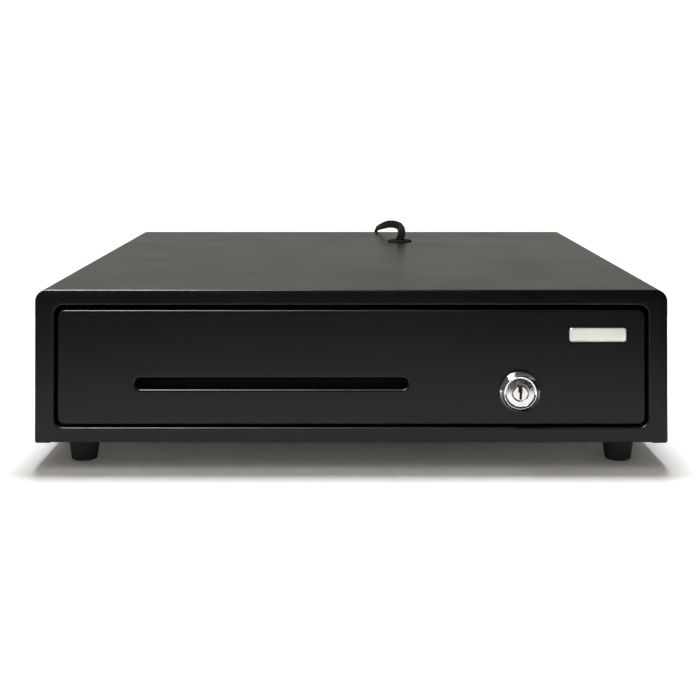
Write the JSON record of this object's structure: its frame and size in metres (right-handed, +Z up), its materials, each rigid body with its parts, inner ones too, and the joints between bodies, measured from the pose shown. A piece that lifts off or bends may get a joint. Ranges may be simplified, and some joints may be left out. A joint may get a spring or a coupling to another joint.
{
  "type": "cash drawer",
  "caption": "Low steel cash drawer: a case on rubber feet, a sliding drawer with media slot and key lock, a till with note clips inside, and a rear cable.",
  "frame": {"origin": "under the middle of the case, on the surface it stands on", "axes": "+X right seen from the front, +Y to the back, +Z up; the drawer opens towards -Y"},
  "size_m": [0.41, 0.5212, 0.1314],
  "materials": {
    "powder_coat": "black powder coat, satin, finely textured",
    "zinc_steel": "zinc plated, satin",
    "chrome": "polished",
    "brass": "nickel plated brass, satin",
    "silver_badge": "brushed, plain",
    "rubber": "matt",
    "till_plastic": "finely grained moulding",
    "switch_plastic": "smooth",
    "coil_tape": "taped winding",
    "cable": "satin PVC",
    "clear_plug": "clear moulding"
  },
  "bodies": {
    "housing": {"front_frame": "powder_coat", "top_cover": "powder_coat", "base_pan": "zinc_steel", "back_panel": "powder_coat", "back_screw_low_left": "zinc_steel", "back_screw_high_left": "zinc_steel", "back_screw_low_right": "zinc_steel", "back_screw_high_right": "zinc_steel", "foot_front_left": "rubber", "foot_front_right": "rubber", "foot_rear_left": "rubber", "foot_rear_right": "rubber", "foot_screw_front_left": "zinc_steel", "foot_screw_front_right": "zinc_steel", "foot_screw_rear_left": "zinc_steel", "foot_screw_rear_right": "zinc_steel", "cable_grommet": "rubber", "lock_keeper": "zinc_steel", "outer_rail_left": "zinc_steel", "outer_rail_right": "zinc_steel", "latch_bracket": "zinc_steel", "latch_pin": "zinc_steel", "latch_spring": "zinc_steel", "solenoid_yoke": "zinc_steel", "solenoid_coil": "coil_tape", "open_switch": "switch_plastic", "ejector_pin": "zinc_steel", "ejector_spring": "zinc_steel", "solenoid_lead": "cable", "cord_lead": "cable", "cord_coil": "cable", "cord_tail": "cable", "cord_plug": "clear_plug"},
    "drawer": {"drawer_front": "powder_coat", "badge_plate": "silver_badge", "drawer_tub": "powder_coat", "inner_rail_left": "zinc_steel", "inner_rail_right": "zinc_steel", "striker": "zinc_steel", "lock_housing": "chrome", "lock_nut": "zinc_steel", "till_insert": "till_plastic", "clip_rod": "zinc_steel", "coin_tray": "till_plastic"},
    "slide_cage_left": {"ball_cage_left": "zinc_steel"},
    "slide_cage_right": {"ball_cage_right": "zinc_steel"},
    "lock_core": {"lock_plug": "brass", "lock_cam": "zinc_steel", "cam_screw": "zinc_steel"},
    "latch": {"latch_lever": "zinc_steel"},
    "plunger": {"solenoid_plunger": "zinc_steel"},
    "switch_arm": {"switch_lever": "zinc_steel"},
    "clip_1": {"note_clip_1": "till_plastic"},
    "clip_2": {"note_clip_2": "till_plastic"},
    "clip_3": {"note_clip_3": "till_plastic"},
    "clip_4": {"note_clip_4": "till_plastic"}
  },
  "joints": [
    {"name": "drawer_slide", "type": "slide", "parent": "housing", "child": "drawer", "axis": [0, -1, 0], "range_m": [0, 0.285]},
    {"name": "cage_slide_left", "type": "slide", "parent": "housing", "child": "slide_cage_left", "axis": [0, -1, 0], "range_m": [0, 0.1425]},
    {"name": "cage_slide_right", "type": "slide", "parent": "housing", "child": "slide_cage_right", "axis": [0, -1, 0], "range_m": [0, 0.1425]},
    {"name": "lock_turn", "type": "hinge", "parent": "drawer", "child": "lock_core", "pos_m": [0.1088, -0.2044, 0.0497], "axis": [0, 1, 0], "range_deg": [0, 90]},
    {"name": "latch_turn", "type": "hinge", "parent": "housing", "child": "latch", "pos_m": [-0.04, 0.1696, 0.056], "axis": [0, 0, -1], "range_deg": [0, 20]},
    {"name": "plunger_slide", "type": "slide", "parent": "housing", "child": "plunger", "axis": [0, -1, 0], "range_m": [0, 0.0063]},
    {"name": "switch_press", "type": "hinge", "parent": "housing", "child": "switch_arm", "pos_m": [-0.089, 0.1628, 0.0515], "axis": [0, 0, 1], "range_deg": [0, 10], "stiffness_Nm_per_rad": 0.01},
    {"name": "clip_lift_1", "type": "hinge", "parent": "drawer", "child": "clip_1", "pos_m": [0, 0.0576, 0.06], "axis": [-1, 0, 0], "range_deg": [0, 90], "stiffness_Nm_per_rad": 0.02, "springref_deg": -11.46},
    {"name": "clip_lift_2", "type": "hinge", "parent": "drawer", "child": "clip_2", "pos_m": [0, 0.0576, 0.06], "axis": [-1, 0, 0], "range_deg": [0, 90], "stiffness_Nm_per_rad": 0.02, "springref_deg": -11.46},
    {"name": "clip_lift_3", "type": "hinge", "parent": "drawer", "child": "clip_3", "pos_m": [0, 0.0576, 0.06], "axis": [-1, 0, 0], "range_deg": [0, 90], "stiffness_Nm_per_rad": 0.02, "springref_deg": -11.46},
    {"name": "clip_lift_4", "type": "hinge", "parent": "drawer", "child": "clip_4", "pos_m": [0, 0.0576, 0.06], "axis": [-1, 0, 0], "range_deg": [0, 90], "stiffness_Nm_per_rad": 0.02, "springref_deg": -11.46}
  ],
  "couplings": [
    {"joint": "cage_slide_left", "follows": "drawer_slide", "ratio": 0.5},
    {"joint": "cage_slide_right", "follows": "drawer_slide", "ratio": 0.5},
    {"joint": "plunger_slide", "follows": "latch_turn", "m_per_rad": 0.01783}
  ]
}
